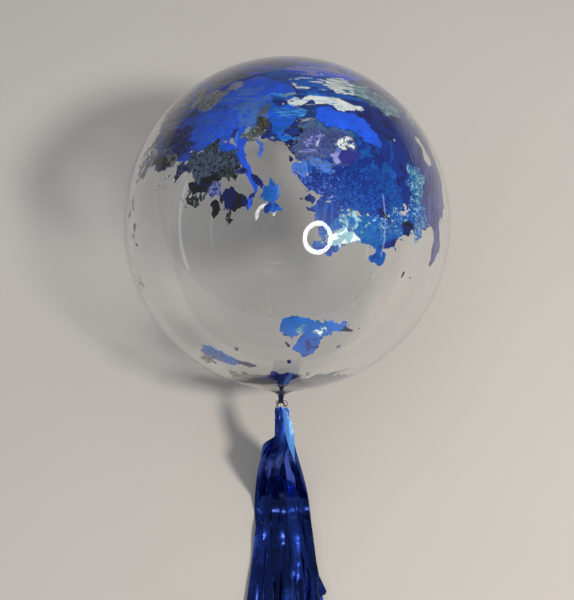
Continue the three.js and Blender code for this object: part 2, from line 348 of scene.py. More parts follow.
# The neck's half-section as [radius, drop below the pole] in millimetres.
NECK = [(20, 1.4), (13.4, 3.6), (8, 6), (4.6, 9), (2.9, 12), (2.2, 14.8), (2.2, 21.6), (2.8, 23.5)]
NECK_STEPS = 5  # to each span of the half-section
PLEAT_START = 4 * STEM_RADIUS  # where the pleats are deepest
PLEAT_DEPTH = 1.8 * MM
PLEAT_REACH = 75 * MM  # they have died away this far from the axis
FINE_DEPTH = 0.4  # of the finer pleats among them, as a share of the depth
FINE_COUNT = 2.6  # and how many there are to each pleat
RIPPLE = 0.45 * MM  # faint waves down the sides, which break up the reflections
RIPPLE_CELLS = 5  # of noise from the axis to the side
FLOOR_EDGE = 0.6 * MM  # how softly the film turns up from the floor


class Form:
    """The bubble's shape and place, worked out from its settings."""

    def __init__(self, film):
        self.equator = film.equator_radius
        self.pole = film.equator_radius * film.pole_stretch
        self.pleats = film.pleats
        turn = Matrix.Rotation(film.lean, 3, "X") @ Matrix.Rotation(film.sway, 3, "Z")
        self.turn = np.array(turn)
        self.axis = self.turn[:, 1]
        # A spheroid's lowest point, seen from its centre, goes to the floor.
        swell = self.pole**2 - self.equator**2
        reach = math.sqrt(self.equator**2 + swell * self.axis[2] ** 2)
        up = np.array([0, 0, self.equator**2])
        lowest = -(up + swell * self.axis[2] * self.axis) / reach
        self.centre = np.array([-lowest[0], -lowest[1], reach - film.flat_depth])
        self.funnel = self._funnel()

    def _funnel(self):
        """The neck's half-section as [radius, height], from the round film to the stem's end."""
        round_film = [
            (self.equator * math.sin(turn), -self.pole * math.cos(turn))
            for turn in (1.3 * FUNNEL_ANGLE, FUNNEL_ANGLE)
        ]
        neck = [(radius * MM, -self.pole - drop * MM) for radius, drop in NECK]
        return spline([*round_film, *neck], NECK_STEPS)[NECK_STEPS:]

    def world(self, points):
        """Points of the bubble's own frame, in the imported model's frame."""
        return points @ self.turn.T + self.centre

    def rippled(self, radius, height, east, inset):
        """Places on the film. Radius and height are the smooth form's."""
        growing = smoothstep(STEM_RADIUS + 0.6 * MM, PLEAT_START, radius)
        fading = 1 - smoothstep(PLEAT_START, PLEAT_REACH, radius)
        folds = np.cos(self.pleats * east) + FINE_DEPTH * np.cos(FINE_COUNT * self.pleats * east + 1)
        depth = PLEAT_DEPTH / (1 + FINE_DEPTH)
        places = [RIPPLE_CELLS * np.sin(east), height / self.equator, RIPPLE_CELLS * np.cos(east)]
        around = np.stack(places, -1)
        waves = noise(around, 11) + 0.6 * noise(2.3 * around, 12)
        plain = smoothstep(1.2 * PLEAT_REACH, 2.5 * PLEAT_REACH, radius)
        radius = radius + depth * folds * growing * fading + RIPPLE * waves * plain
        points = np.stack([radius * np.sin(east), height, radius * np.cos(east)], -1)
        return self.on_floor(self.world(points), inset)

    def on_floor(self, points, inset):
        """Presses what would be below the floor flat against it, with a small round edge."""
        over = points[:, 2] - inset
        lifted = 0.5 * (over + np.sqrt(over**2 + FLOOR_EDGE**2)) + inset
        return np.column_stack([points[:, :2], lifted])

    def inside(self, directions, inset):
        """Places just inside the film, for directions from the bubble's centre."""
        east = np.arctan2(directions[:, 0], directions[:, 2])
        flat = np.hypot(directions[:, 0], directions[:, 2])
        radius, height = self.equator * flat, self.pole * directions[:, 1]
        normal = unit(np.stack([flat / self.equator, directions[:, 1] / self.pole], -1))
        low = (directions[:, 1] < 0) & (flat < math.sin(FUNNEL_ANGLE))
        order = np.argsort(self.funnel[:, 0])
        height = np.where(low, np.interp(radius, *self.funnel[order].T), height)
        radius = radius - inset * normal[:, 0]
        height = height - inset * normal[:, 1]
        return self.rippled(radius, height, east, inset)


def form_of(scene):
    return Form(scene.balloon.film)


# ---- The film ---------------------------------------------------------------------------


def film_material(settings):
    """Stretched polyurethane balloon film, blown smooth: clear, glossy, with crisp reflections.

    Lamps reach the paint and the floor through it, a little dimmed at each wall, so the clear
    bubble throws a faint shadow.
    """
    material, tree, output = new_material("Polyurethane film, blown clear")
    clear = add_node(
        tree,
        "ShaderNodeBsdfPrincipled",
        Base_Color=(1, 1, 1, 1),
        Roughness=0.0,
        IOR=1.46,
        Transmission_Weight=1.0,
    )
    dimmed = add_node(tree, "ShaderNodeBsdfTransparent", Color=(*settings.tint, 1))
    path = add_node(tree, "ShaderNodeLightPath")
    seen = add_node(
        tree,
        "ShaderNodeMixShader",
        in0=path.outputs["Is Shadow Ray"],
        in1=clear.outputs[0],
        in2=dimmed.outputs[0],
    )
    tree.links.new(seen.outputs[0], output.inputs["Surface"])
    return material


def wall_of_film(form, inset, around=200, rows=130):
    """One face of the film, from the end of the stem to the crown."""
    angles = np.linspace(FUNNEL_ANGLE, np.pi, rows)[1:-1]
    arc = np.stack([form.equator * np.sin(angles), -form.pole * np.cos(angles)], -1)
    profile = np.concatenate([form.funnel[::-1], arc])
    way_out = np.gradient(profile, axis=0)
    normal = unit(np.stack([way_out[:, 1], -way_out[:, 0]], -1))
    profile = profile - inset * normal
    east = np.linspace(0, 2 * np.pi, around, endpoint=False)
    radius = np.repeat(profile[:, 0], around)
    height = np.repeat(profile[:, 1], around)
    ring = form.rippled(radius, height, np.tile(east, len(profile)), inset)
    tips = np.array([[0, -form.pole - STEM_DROP + inset, 0], [0, form.pole - inset, 0]])
    points = np.concatenate([ring, form.world(tips)])
    faces = grid_faces(len(profile), around, closed=True).tolist()
    low, high, last = len(ring), len(ring) + 1, len(ring) - around
    for k in range(around):
        after = (k + 1) % around
        faces.append([low, after, k])
        faces.append([high, last + k, last + after])
    return points, faces


class BALLOON_OT_film(bpy.types.Operator):
    """Make the bubble: a double wall of clear film, pleated into its neck"""

    bl_idname = "balloon.film"
    bl_label = "Bubble film"

    def execute(self, context):
        settings = context.scene.balloon.film
        form = form_of(context.scene)
        outer = wall_of_film(form, 0.0)
        points, faces = wall_of_film(form, settings.thickness)
        inner = points, [face[::-1] for face in faces]
        points, faces = joined([outer, inner])
        material = film_material(settings)
        add_piece("bubble_film_shell", points, faces, material, replaces=["bubble_film"])
        return {"FINISHED"}


# ---- The paint --------------------------------------------------------------------------

# Which way the second colour runs through the first.
PLAIN, ALONG, DOWN, FINE = range(4)

# Each area is an ellipse on the bubble: its middle in degrees east and north, half its width
# and height in millimetres, and how far it is turned anticlockwise in degrees. Its edge
# wanders by ragged millimetres. The second colour takes a share of it. Kept is the share of
# it that is paint: below 1 it is a lacework with holes. A later area lies over an earlier one,
# and one with no colour wipes what is under it clear.
Area = namedtuple("Area", "east north wide tall turn ragged under over share run kept")

CROWN = [
    Area(0, 90, 226, 226, 0, 16, "royal", "violet", 0.5, ALONG, 1),
    Area(150, 72, 120, 46, 15, 12, "royal", "lilac", 0.35, ALONG, 1),
    Area(200, 60, 110, 34, -12, 14, "azure", "foam", 0.3, ALONG, 1),
    Area(255, 62, 74, 52, 30, 14, "royal", "violet", 0.4, ALONG, 1),
    Area(95, 58, 84, 60, -30, 14, "deep", "teal", 0.35, PLAIN, 1),
    Area(60, 76, 90, 34, 20, 10, "teal", "foam", 0.4, ALONG, 1),
    Area(300, 80, 70, 30, 10, 10, "royal", "sky", 0.35, ALONG, 1),
    Area(172, 44, 30, 40, 0, 10, "navy", "charcoal", 0.4, DOWN, 1),
    Area(226, 42, 16, 30, 8, 8, "azure", "teal", 0.4, DOWN, 1),
    Area(0, 58, 100, 40, 0, 10, "royal", "violet", 0.45, ALONG, 1),
    Area(-11, 56, 34, 14, 0, 5, "plum", "violet", 0.4, ALONG, 1),
    Area(12, 62, 40, 16, 0, 6, "periwinkle", "violet", 0.5, ALONG, 1),
]

LEFT = [
    Area(-33, 25, 92, 62, 20, 9, "royal", "violet", 0.4, ALONG, 1),
    Area(-45, 26, 46, 46, 30, 8, "violet", "royal", 0.45, ALONG, 1),
    Area(-52, 34, 34, 60, 25, 8, "slate", "lilac", 0.4, ALONG, 1),
    Area(-15, 36, 56, 34, 0, 7, "royal", "periwinkle", 0.4, ALONG, 1),
    Area(-8, 38, 24, 22, 0, 6, "royal", "royal", 0.0, ALONG, 1),
    Area(-26, 21, 42, 36, 0, 8, "royal", "periwinkle", 0.32, FINE, 1),
    Area(-13, 25, 27, 36, 0, 7, "periwinkle", "royal", 0.34, DOWN, 1),
    Area(-9, 26, 12, 17, 0, 3, "slate", "periwinkle", 0.3, PLAIN, 1),
    Area(-31, 34, 20, 22, 0, 6, "silver", "grey", 0.5, FINE, 1),
    Area(-38, 36, 12, 26, 35, 6, "silver", "slate", 0.45, DOWN, 1),
    Area(-31, 32, 9, 9, 20, 6, "charcoal", "silver", 0.45, FINE, 0.7),
    Area(-29, 44, 32, 11, 22, 5, "slate", "charcoal", 0.45, ALONG, 1),
    Area(-25, 39, 11, 8, 10, 4, "silver", "lilac", 0.45, FINE, 1),
    Area(-2, 46, 10, 8, 0, 4, "slate", "charcoal", 0.5, FINE, 1),
    Area(-40, 18, 30, 32, 25, 9, "navy", "violet", 0.45, FINE, 1),
    Area(-46, 14, 30, 22, 0, 9, "violet", "lilac", 0.4, FINE, 0.92),
    Area(-57, 15, 26, 34, 12, 9, "lilac", "grey", 0.5, FINE, 0.85),
    Area(-42, 12, 11, 13, 0, 5, "grey", "silver", 0.5, DOWN, 1),
    Area(-46, 12, 17, 12, 0, 6, "charcoal", "violet", 0.3, FINE, 1),
    # Painted shade: the dark mottled haze in these rows stands for paint on the far wall, seen in shade
    # through the near one.
    Area(-25, 8, 50, 25, -6, 11, "slate", "charcoal", 0.4, FINE, 1),
    Area(-18, 9, 22, 20, -30, 8, "charcoal", "slate", 0.48, FINE, 1),
    Area(-36, 8, 16, 10, 0, 5, "navy", "slate", 0.4, FINE, 1),
    Area(-11, 17, 15, 11, 0, 5, "moss", "silver", 0.45, FINE, 1),
    Area(-14, 12, 9, 33, 14, 4, "royal", "sky", 0.12, DOWN, 1),
    Area(-12, 5, 6, 15, 16, 2, "royal", "royal", 0.0, DOWN, 1),
    Area(-20, 13, 12, 8, 0, 3, "royal", "azure", 0.3, PLAIN, 1),
    Area(-25, 14, 9, 9, -20, 5, "charcoal", "moss", 0.45, FINE, 1),
    Area(-9, 20, 13, 14, 0, 6, "olive", "charcoal", 0.42, FINE, 1),
    Area(-13, 18, 7, 6, 0, 4, "mist", "moss", 0.4, FINE, 1),
    Area(-13, 15, 6, 6, 0, 2, "royal", "periwinkle", 0.3, PLAIN, 1),
    Area(-6, 16, 9, 6, 0, 3, "deep", "teal", 0.4, PLAIN, 1),
    Area(-8, 13, 5, 10, 0, 2, "periwinkle", "royal", 0.3, PLAIN, 1),
]

WINDOW = [
    Area(-1, 2, 44, 31, 0, 9, None, None, 0, PLAIN, 1),
    Area(-4, 14, 17, 10, -10, 6, None, None, 0, PLAIN, 1),
    Area(-9, -1, 14, 16, 0, 5, None, None, 0, PLAIN, 1),
]

# The near-black, grey and moss patches among these islands are painted shade: they stand for paint on
# the far wall seen in shade, and are laid on the near wall.
ISLANDS = [
    Area(-26, 3, 34, 8, 2, 6, "charcoal", "navy", 0.3, ALONG, 1),
    Area(-18, 4, 15, 10, -10, 5, "moss", "charcoal", 0.5, FINE, 1),
    Area(-14, 5, 7, 4, 0, 2, "violet", "navy", 0.3, PLAIN, 1),
    Area(-29, -1, 32, 14, 4, 7, "charcoal", "moss", 0.4, FINE, 0.6),
    Area(-22, 0, 10, 12, 10, 4, "violet", "lilac", 0.5, FINE, 1),
    Area(-16, -3, 23, 17, -8, 5, "navy", "charcoal", 0.5, DOWN, 1),
    Area(-12, -3, 7, 16, 12, 3, "royal", "navy", 0.3, DOWN, 1),
    Area(-22, -6, 7, 13, 12, 4, "charcoal", "charcoal", 0.0, DOWN, 1),
    Area(-18, -8, 19, 8, -8, 6, "charcoal", "grey", 0.4, FINE, 0.7),
    Area(-12, 1, 3, 6, -35, 2, "deep", "teal", 0.4, PLAIN, 1),
    Area(-4, 7, 11, 7, 20, 6, "deep", "teal", 0.4, FINE, 0.45),
    Area(-6, 1, 17, 14, 0, 5, "cobalt", "azure", 0.45, FINE, 1),
    Area(-10, 4, 4, 6, 20, 2, "navy", "deep", 0.4, PLAIN, 1),
    Area(-3, 1, 4, 10, 0, 3, "periwinkle", "azure", 0.4, DOWN, 1),
    Area(-5, -1, 8, 7, 0, 3, "azure", "teal", 0.4, PLAIN, 1),
    Area(-4, -5, 13, 11, -20, 5, "azure", "deep", 0.45, PLAIN, 1),
]

RIGHT = [
    Area(3, 45, 60, 26, 0, 9, "azure", "violet", 0.4, ALONG, 1),
    Area(40, 40, 60, 44, -20, 9, "deep", "slate", 0.45, ALONG, 1),
    Area(24, 12, 92, 76, -10, 9, "deep", "cobalt", 0.4, PLAIN, 1),
    Area(49, 12, 62, 88, 0, 9, "deep", "navy", 0.4, PLAIN, 1),
    Area(26, 2, 58, 34, 0, 8, "cobalt", "deep", 0.45, FINE, 1),
    Area(-3, 26, 19, 40, 0, 5, "azure", "royal", 0.45, ALONG, 1),
    Area(-3, 31, 17, 8, 8, 4, "deep", "teal", 0.4, ALONG, 1),
    Area(-4, 34, 20, 4, 16, 3, "sky", "mist", 0.45, ALONG, 1),
    # Painted highlight: this pale streak across the azure stands for a glint of the lamp.
    Area(0, 27, 26, 6, 6, 4, "sky", "azure", 0.5, ALONG, 1),
    Area(-1, 17, 17, 5, 0, 3, "azure", "sky", 0.4, ALONG, 1),
    Area(17, 49, 66, 18, 0, 8, "royal", "lilac", 0.45, ALONG, 1),
    # Painted highlight as well as white paint: the white and misty streaks here stand for the lamp's
    # reflection in the metallic paint at the top right.
    Area(22, 41, 40, 24, -6, 8, "foam", "teal", 0.38, ALONG, 1),
    Area(31, 39, 20, 20, -20, 6, "mist", "moss", 0.4, ALONG, 1),
    Area(6, 40, 28, 16, 8, 7, "azure", "foam", 0.45, ALONG, 1),
    Area(19, 34, 62, 9, -2, 6, "deep", "azure", 0.4, ALONG, 1),
    Area(16, 32, 64, 7, -1, 5, "foam", "sky", 0.35, ALONG, 1),
    Area(40, 35, 30, 26, -25, 8, "slate", "mist", 0.4, FINE, 1),
    Area(34, 26, 34, 30, -30, 8, "deep", "navy", 0.45, PLAIN, 1),
    Area(19, 25, 46, 20, -10, 5, "royal", "royal", 0.0, PLAIN, 1),
    Area(26, 20, 20, 12, -25, 5, "royal", "azure", 0.25, PLAIN, 1),
    Area(12, 20, 40, 8, -10, 6, "slate", "teal", 0.4, FINE, 1),
    Area(11, 14, 46, 30, -8, 10, "violet", "slate", 0.42, FINE, 1),
    Area(8, 17, 20, 10, 0, 7, "violet", "lilac", 0.46, FINE, 1),
    Area(18, 11, 18, 11, 0, 3, "plum", "violet", 0.2, PLAIN, 1),
    Area(11, 15, 3, 10, 0, 1.5, "lilac", "foam", 0.4, DOWN, 1),
    Area(8, 12, 17, 2.5, -4, 1.5, "lilac", "violet", 0.3, ALONG, 1),
    Area(15, 11, 2.5, 12, -14, 1.5, "lilac", "periwinkle", 0.4, DOWN, 1),
    Area(17, 15, 10, 7, 0, 4, "foam", "slate", 0.42, FINE, 1),
    Area(10, 9, 19, 8, -18, 4, "periwinkle", "slate", 0.3, ALONG, 1),
    Area(11, 4, 28, 16, 0, 7, "deep", "periwinkle", 0.3, FINE, 1),
    Area(5, 7, 6, 15, -40, 3, "periwinkle", "royal", 0.3, DOWN, 1),
    Area(23, 6, 28, 22, 0, 9, "deep", "cobalt", 0.36, FINE, 1),
    Area(6, -1, 8, 6, 10, 4, "navy", "deep", 0.4, PLAIN, 1),
    Area(9, -5, 11, 6, -20, 4, "deep", "navy", 0.4, PLAIN, 1),
    Area(13, -3, 28, 13, -20, 6, "deep", "cobalt", 0.4, FINE, 1),
    Area(46, 2, 27, 56, 4, 10, "cobalt", "mist", 0.36, FINE, 1),
    Area(47, 8, 14, 34, 8, 9, "teal", "mist", 0.34, FINE, 1),
    Area(27, -10, 64, 25, 0, 10, "cobalt", "teal", 0.42, FINE, 1),
    Area(36, -6, 42, 22, 10, 10, "cobalt", "mist", 0.3, FINE, 1),
    Area(12, -6, 15, 26, 24, 6, "cobalt", "deep", 0.45, DOWN, 1),
    Area(20, -8, 21, 18, 10, 8, "mist", "slate", 0.42, DOWN, 0.9),
    Area(19, -14, 20, 8, 10, 4, "foam", "mist", 0.5, PLAIN, 1),
    Area(31, -4, 5, 16, 30, 3, "charcoal", "deep", 0.4, DOWN, 1),
    Area(14, -16, 20, 6, -6, 5, "cobalt", "deep", 0.4, PLAIN, 1),
    Area(33, -14, 18, 7, 14, 4, "navy", "deep", 0.4, PLAIN, 1),
    Area(30, -18, 11, 14, 0, 4, "cobalt", "deep", 0.35, DOWN, 1),
    Area(42, -7, 15, 12, 10, 5, "navy", "charcoal", 0.35, PLAIN, 1),
    Area(56, 16, 46, 96, 4, 8, "violet", "navy", 0.45, DOWN, 1),
    Area(58, -8, 16, 38, 6, 5, "navy", "violet", 0.4, DOWN, 1),
]

SLOT = [
    Area(55, 21, 9, 26, 12, 4, None, None, 0, PLAIN, 1),
    Area(39, -21, 22, 11, 24, 4, None, None, 0, PLAIN, 1),
    Area(51, -17, 11, 16, 0, 4, None, None, 0, PLAIN, 1),
]

SPECKS = [
    Area(55, 33, 12, 12, 0, 5, "mist", "slate", 0.45, FINE, 0.8),
    Area(2, 9, 4, 6, 0, 1, "navy", "violet", 0.3, PLAIN, 1),
    Area(2, 14, 9, 7, 0, 5, "charcoal", "grey", 0.4, FINE, 0.4),
    Area(-43, 5, 17, 11, 10, 6, "charcoal", "charcoal", 0.0, FINE, 0.25),
    Area(-63, -4, 22, 44, 0, 8, "grey", "slate", 0.5, DOWN, 0.5),
    Area(-68, -22, 14, 30, 0, 8, "grey", "charcoal", 0.45, DOWN, 0.4),
    Area(4, -42, 23, 17, -8, 6, "azure", "teal", 0.4, FINE, 1),
    Area(8, -43, 9, 7, 0, 3, "teal", "mist", 0.45, FINE, 1),
    Area(17, -43, 32, 17, 6, 7, "azure", "teal", 0.36, FINE, 1),
    Area(15, -44, 12, 8, 0, 3, "teal", "foam", 0.42, FINE, 1),
    Area(11, -50, 21, 20, 0, 6, "azure", "deep", 0.35, PLAIN, 1),
    Area(26, -43, 6, 4, 0, 1, "charcoal", "navy", 0.3, PLAIN, 1),
    Area(32, -42, 4, 3, 0, 1, "slate", "slate", 0.0, PLAIN, 1),
    Area(28, -50, 5, 5, 0, 1, "slate", "azure", 0.3, PLAIN, 1),
    Area(-38, -56, 32, 18, -28, 6, "azure", "sky", 0.35, FINE, 1),
    Area(-22, -60, 13, 13, 0, 3, "navy", "navy", 0.0, PLAIN, 1),
    Area(2, -58, 6, 8, 0, 1, "navy", "navy", 0.0, PLAIN, 1),
    Area(-24, -52, 4, 5, 20, 1, "slate", "navy", 0.4, PLAIN, 1),
    Area(2, -49, 3, 3, 0, 1, "navy", "navy", 0.0, PLAIN, 1),
    Area(2, -46, 3, 3, 0, 1, "navy", "navy", 0.0, PLAIN, 1),
    Area(42, -21, 3, 3, 0, 1, "charcoal", "slate", 0.0, PLAIN, 1),
    Area(47, -22, 4, 3, 0, 1, "charcoal", "slate", 0.0, PLAIN, 1),
    Area(-54, -58, 30, 12, 20, 8, "grey", "charcoal", 0.5, FINE, 0.45),
    Area(52, -60, 26, 8, 20, 7, "grey", "charcoal", 0.5, FINE, 0.35),
    Area(-8, -90, 118, 112, 0, 12, "grey", "charcoal", 0.48, ALONG, 1),
    Area(52, -74, 84, 50, 0, 12, "grey", "slate", 0.5, FINE, 1),
    Area(6, -76, 44, 52, 0, 8, "navy", "charcoal", 0.45, ALONG, 1),
    Area(0, -90, 34, 34, 0, 6, "charcoal", "navy", 0.4, FINE, 1),
]

POURS = [*CROWN, *LEFT, *WINDOW, *ISLANDS, *RIGHT, *SLOT, *SPECKS]

PAINT_INSET = 0.45 * MM  # just inside the film
PAINT_DEPTH = 0.7 * MM
LUMP_GRAIN = 7 * MM
LACE_GRAIN = 9.0  # in millimetres, as are the next three
EDGE_GRAIN = 17.0
TIDY = 0.25  # no cut comes nearer than this to a corner of the mesh
PAINT_BRIM = 9  # the paint has its full depth this far in from its edge
EDGE_WANDER = 1.45  # how far an edge wanders for each millimetre that its area is ragged
FAR_SIDE = 2.4  # in radians from an area's middle: nothing past it is in the area
LACE_SEED = 90
EDGE_SEED = 60
# How the pours are stirred, widest first: grain and reach in millimetres, and a seed.
STIRS = [(45, 11, 5), (15, 7, 8), (6, 2.5, 31)]
# How much finer an edge wanders across, up and across the bubble, for each run.
EDGE_SCALES = {
    PLAIN: (1, 1, 1),
    FINE: (1.4, 1.4, 1.4),
    ALONG: (0.3, 1.3, 0.3),
    DOWN: (1.3, 0.35, 1.3),
}


def way_to(east, north):
    """The direction of a place on the bubble, given in degrees."""
    east, north = math.radians(east), math.radians(north)
    flat = math.cos(north)
    return np.array([flat * math.sin(east), math.sin(north), flat * math.cos(east)])


def fractal(points, grain, seed, octaves=4, fade=0.62):
    """Noise with finer and finer detail, about -1 to 1."""
    total, size, scale = 0, 1.0, 0.0
    for octave in range(octaves):
        total = total + size * noise(points / grain, seed + octave)
        scale += size
        size, grain = size * fade, grain / 2.1
    return 1.7 * total / scale


def within(area, directions, radius):
    """How far inside an area each direction is, in millimetres, before its edge wanders."""
    middle = way_to(area.east, area.north)
    east = unit(np.cross((0, 1, 0), middle)) if abs(area.north) < 90 else np.array([1.0, 0, 0])
    north = np.cross(middle, east)
    away = np.arccos(np.clip(directions @ middle, -1, 1))
    reach = radius * away / np.maximum(np.sin(away), 1e-6)
    turn = math.radians(area.turn)
    x, y = reach * (directions @ east), reach * (directions @ north)
    x, y = x * math.cos(turn) + y * math.sin(turn), y * math.cos(turn) - x * math.sin(turn)
    # A close guess at the distance to an ellipse, good to a few per cent near its edge.
    share = np.hypot(x / area.wide, y / area.tall)
    slope = np.hypot(x / area.wide**2, y / area.tall**2) + 1e-9
    inside = np.where(share > 0.05, share * (1 - share) / slope, min(area.wide, area.tall))
    inside[away > FAR_SIDE] = -1000
    return np.minimum(inside, min(area.wide, area.tall))


def pour(directions, radius, palette):
    """The paint's cover in millimetres from its edge, and its colours, for each direction."""
    points = directions * radius
    for grain, reach, seed in STIRS:
        points = drift(points, grain, reach, seed)
    edges = {
        run: [
            fractal(points * scale, EDGE_GRAIN, EDGE_SEED + 7 * k + run, fade=0.8) for k in range(2)
        ]
        for run, scale in EDGE_SCALES.items()
    }
    laces = [
        np.abs(fractal(points, LACE_GRAIN * size, LACE_SEED + size, octaves=2)) for size in (1, 2)
    ]
    warped = unit(points)
    cover = np.full(len(points), -1000.0)
    looks = {"under": np.zeros((len(points), 3)), "over": np.zeros((len(points), 3))}
    looks["share"] = np.zeros(len(points))
    looks["run"] = np.zeros(len(points), int)
    for count, area in enumerate(POURS):
        inside = within(area, warped, radius)
        inside = inside + EDGE_WANDER * area.ragged * edges[area.run][count % 2]
        if area.kept < 1:
            lace = 0.5 * LACE_GRAIN * (0.62 * area.kept**1.5 - laces[count % 2])
            inside = np.minimum(inside, lace)
        if area.under is None:
            cover = np.minimum(cover, -inside)
            continue
        cover = np.maximum(cover, inside)
        on = inside > 0
        looks["under"][on] = palette[area.under]
        looks["over"][on] = palette[area.over]
        looks["share"][on] = area.share
        looks["run"][on] = area.run
    return cover, looks


def cut_sheet(directions, triangles, cover):
    """Trims a sheet of triangles where its cover falls to nothing.

    Gives the corners of the trimmed triangles, the two old points and the share between them
    that make each new point, and how many points are old.
    """
    cover = np.where(np.abs(cover) < TIDY, np.where(cover < 0, -TIDY, TIDY), cover)
    wet = cover > 0
    inside = wet[triangles]
    whole = triangles[inside.all(axis=1)]
    edges = {}

    def crossing(dry, damp):
        key = (int(damp), int(dry))
        return edges.setdefault(key, len(directions) + len(edges))

    pieces = []
    for corners, held in zip(triangles, inside):
        if held.all() or not held.any():
            continue
        count = int(held.sum())
        lone = int(np.argmax(held if count == 1 else ~held))
        a, b, c = (corners[(lone + k) % 3] for k in range(3))
        if count == 1:
            pieces.append((a, crossing(b, a), crossing(c, a)))
        else:
            first, second = crossing(a, b), crossing(a, c)
            pieces.append((b, c, second))
            pieces.append((b, second, first))
    pairs = np.array(list(edges))
    damp, dry = pairs.T
    share = cover[damp] / (cover[damp] - cover[dry])
    return np.concatenate([whole, np.array(pieces)]), damp, dry, share


def paint_sheets(form, level, palette):
    """The paint as one sheet of triangles: directions, triangles, cover and looks."""
    ball = bmesh.new()
    bmesh.ops.create_icosphere(ball, subdivisions=level, radius=1)
    directions = unit(np.array([vertex.co[:] for vertex in ball.verts]))
    triangles = np.array([[vertex.index for vertex in face.verts] for face in ball.faces])
    ball.free()
    cover, looks = pour(directions, form.equator / MM, palette)
    triangles, damp, dry, share = cut_sheet(directions, triangles, cover)
    share = share[:, None]
    edge = unit(directions[damp] * (1 - share) + directions[dry] * share)
    directions = np.concatenate([directions, edge])
    cover = np.concatenate([cover, np.zeros(len(damp))])
    looks = {name: np.concatenate([values, values[damp]]) for name, values in looks.items()}
    return directions, triangles, cover, looks


def paint_solid(form, directions, triangles, cover):
    """A closed body of paint for some of the sheet's triangles.

    It is nothing thick where it was trimmed, and has a wall where it meets the next body.
    """
    used, corners = np.unique(triangles, return_inverse=True)
    corners = corners.reshape(-1, 3)
    cover, directions = cover[used], directions[used]
    outer = form.inside(directions, PAINT_INSET)
    lumps = 0.35 * noise(directions * form.equator / LUMP_GRAIN, 21)
    depth = PAINT_DEPTH * (smoothstep(0, PAINT_BRIM, cover) * (0.8 + lumps) + 0.12)
    thick = cover > 0
    depth = np.where(thick, depth, 0)
    film = form.inside(directions, 0.0)
    inner = outer + depth[:, None] * unit(form.centre - film)
    count = len(used)
    shift = np.arange(count)
    shift[thick] = count + np.arange(thick.sum())
    points = np.concatenate([outer, inner[thick]])
    origin = np.concatenate([used, used[thick]])
    sides = np.concatenate([corners[:, [0, 1]], corners[:, [1, 2]], corners[:, [2, 0]]])
    key = sides.min(axis=1) * count + sides.max(axis=1)
    _, first, total = np.unique(key, return_index=True, return_counts=True)
    faces = [*corners.tolist(), *shift[corners][:, ::-1].tolist()]
    for start, end in sides[first[total == 1]]:
        wall = [int(end), int(start), int(shift[start]), int(shift[end])]
        wall = [corner for k, corner in enumerate(wall) if corner not in wall[:k]]
        if len(wall) > 2:
            faces.append(wall)
    return points, faces, origin


def paint_material():
    """Acrylic paint, poured and dried against the film: flat colours that run into each other.

    It is thick enough to hide what is behind it. One colour runs through the other in streaks
    or mottles with hard edges, as two wet paints do that never mixed.
    """
    material, tree, output = new_material("Acrylic paint, poured")
    colours = {
        name: add_node(tree, "ShaderNodeAttribute", {"attribute_name": name}).outputs["Color"]
        for name in ("under", "over", "runs")
    }
    share = add_node(tree, "ShaderNodeAttribute", {"attribute_name": "share"}).outputs["Fac"]
    skin = add_node(tree, "ShaderNodeAttribute", {"attribute_name": "skin"}).outputs["Vector"]
    runs = add_node(tree, "ShaderNodeSeparateColor", Color=colours["runs"])
    # Scales are cells per metre: 1000 over the grain in millimetres, across and up the bubble.
    grains = {"plain": (24, 24), "Red": (60, 7), "Green": (8, 60), "Blue": (5.5, 5.5)}
    pattern = None
    for name, (across, up) in grains.items():
        scale = (1000 / across, 1000 / up, 1000 / across)
        placed = add_node(tree, "ShaderNodeMapping", Vector=skin, Scale=scale)
        mottle = add_node(
            tree,
            "ShaderNodeTexNoise",
            Vector=placed.outputs[0],
            Scale=1.0,
            Detail=5.0,
            Roughness=0.62,
            Distortion=1.3,
        ).outputs["Fac"]
        if pattern is None:
            pattern = mottle
            continue
        pattern = add_node(
            tree, "ShaderNodeMix", in0=runs.outputs[name], in2=pattern, in3=mottle
        ).outputs[0]
    level = add_node(tree, "ShaderNodeMapRange", in0=share, in3=0.68, in4=0.32).outputs[0]
    above = add_node(tree, "ShaderNodeMath", {"operation": "SUBTRACT"}, in0=pattern, in1=level)
    over = add_node(tree, "ShaderNodeMapRange", in0=above.outputs[0], in1=-0.012, in2=0.012)
    shade = add_node(
        tree,
        "ShaderNodeMix",
        {"data_type": "RGBA"},
        in0=over.outputs[0],
        in6=colours["under"],
        in7=colours["over"],
    )
    # Pigment that settled unevenly: from 0.8 to 1.45 of the colour, in clouds 25 mm across.
    cloud = add_node(
        tree, "ShaderNodeTexNoise", Vector=skin, Scale=40.0, Detail=6.0, Roughness=0.75
    )
    depth = add_node(
        tree, "ShaderNodeMapRange", in0=cloud.outputs["Fac"], in1=0.3, in2=0.7, in3=0.8, in4=1.45
    )
    clouded = add_node(
        tree,
        "ShaderNodeVectorMath",
        {"operation": "SCALE"},
        in0=shade.outputs[2],
        Scale=depth.outputs[0],
    )
    raised = add_node(tree, "ShaderNodeBump", Strength=0.4, Distance=0.0004, Height=pattern)
    rough = add_node(
        tree, "ShaderNodeMapRange", in0=cloud.outputs["Fac"], in1=0.3, in2=0.7, in3=0.3, in4=0.55
    )
    dried = add_node(
        tree,
        "ShaderNodeBsdfPrincipled",
        Base_Color=clouded.outputs[0],
        Roughness=rough.outputs[0],
        IOR=1.48,
        Normal=raised.outputs[0],
    )
    tree.links.new(dried.outputs[0], output.inputs["Surface"])
    return material


# The paint is split so that no piece is too heavy. For each piece, the least and the most
# degrees north, and the side it is on: -1 is west, 1 is east and 0 is both.
PAINT_PIECES = {
    "paint_crown": (40, 91, 0),
    "paint_left": (-30, 40, -1),
    "paint_right": (-30, 40, 1),
    "paint_low": (-91, -30, 0),
}


